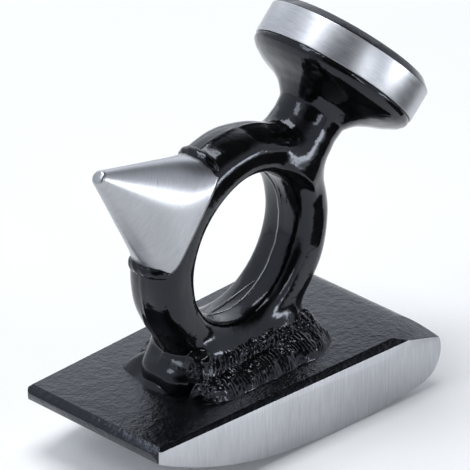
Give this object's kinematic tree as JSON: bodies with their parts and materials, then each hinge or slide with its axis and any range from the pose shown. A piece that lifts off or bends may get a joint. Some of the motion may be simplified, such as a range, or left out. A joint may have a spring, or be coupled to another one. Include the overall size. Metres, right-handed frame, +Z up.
{
  "type": "hand dolly anvil",
  "caption": "Hand-held panel beating dolly: a forged ring grip with a round hammer head and a cone, welded on a curved base plate.",
  "frame": {"origin": "under the middle of the whole tool, level with the lowest line of the curved face", "axes": "+Z up, +X along the plate towards the hammer head's side and the round nose, +Y across the plate"},
  "size_m": [0.1408, 0.0706, 0.1365],
  "materials": {
    "plate_steel": "gloss black paint on the top, ground bright on the sides and the curved face",
    "black_paint": "gloss black paint over a forged surface",
    "weld_paint": "gloss black paint over rippled weld beads",
    "turned_steel": "satin, fine turning marks around the rim",
    "ground_steel": "satin, fine marks around the cone"
  },
  "bodies": {
    "root": {"base_plate": "plate_steel", "ring_handle": "black_paint", "head_disc": "turned_steel", "cone_horn": "ground_steel", "cone_weld_upper": "weld_paint", "cone_weld_lower": "weld_paint", "foot_weld_front_lower": "weld_paint", "foot_weld_front_upper": "weld_paint", "foot_weld_back_lower": "weld_paint", "foot_weld_back_upper": "weld_paint", "foot_weld_toe_end": "weld_paint", "foot_weld_nose_end": "weld_paint"}
  },
  "joints": []
}
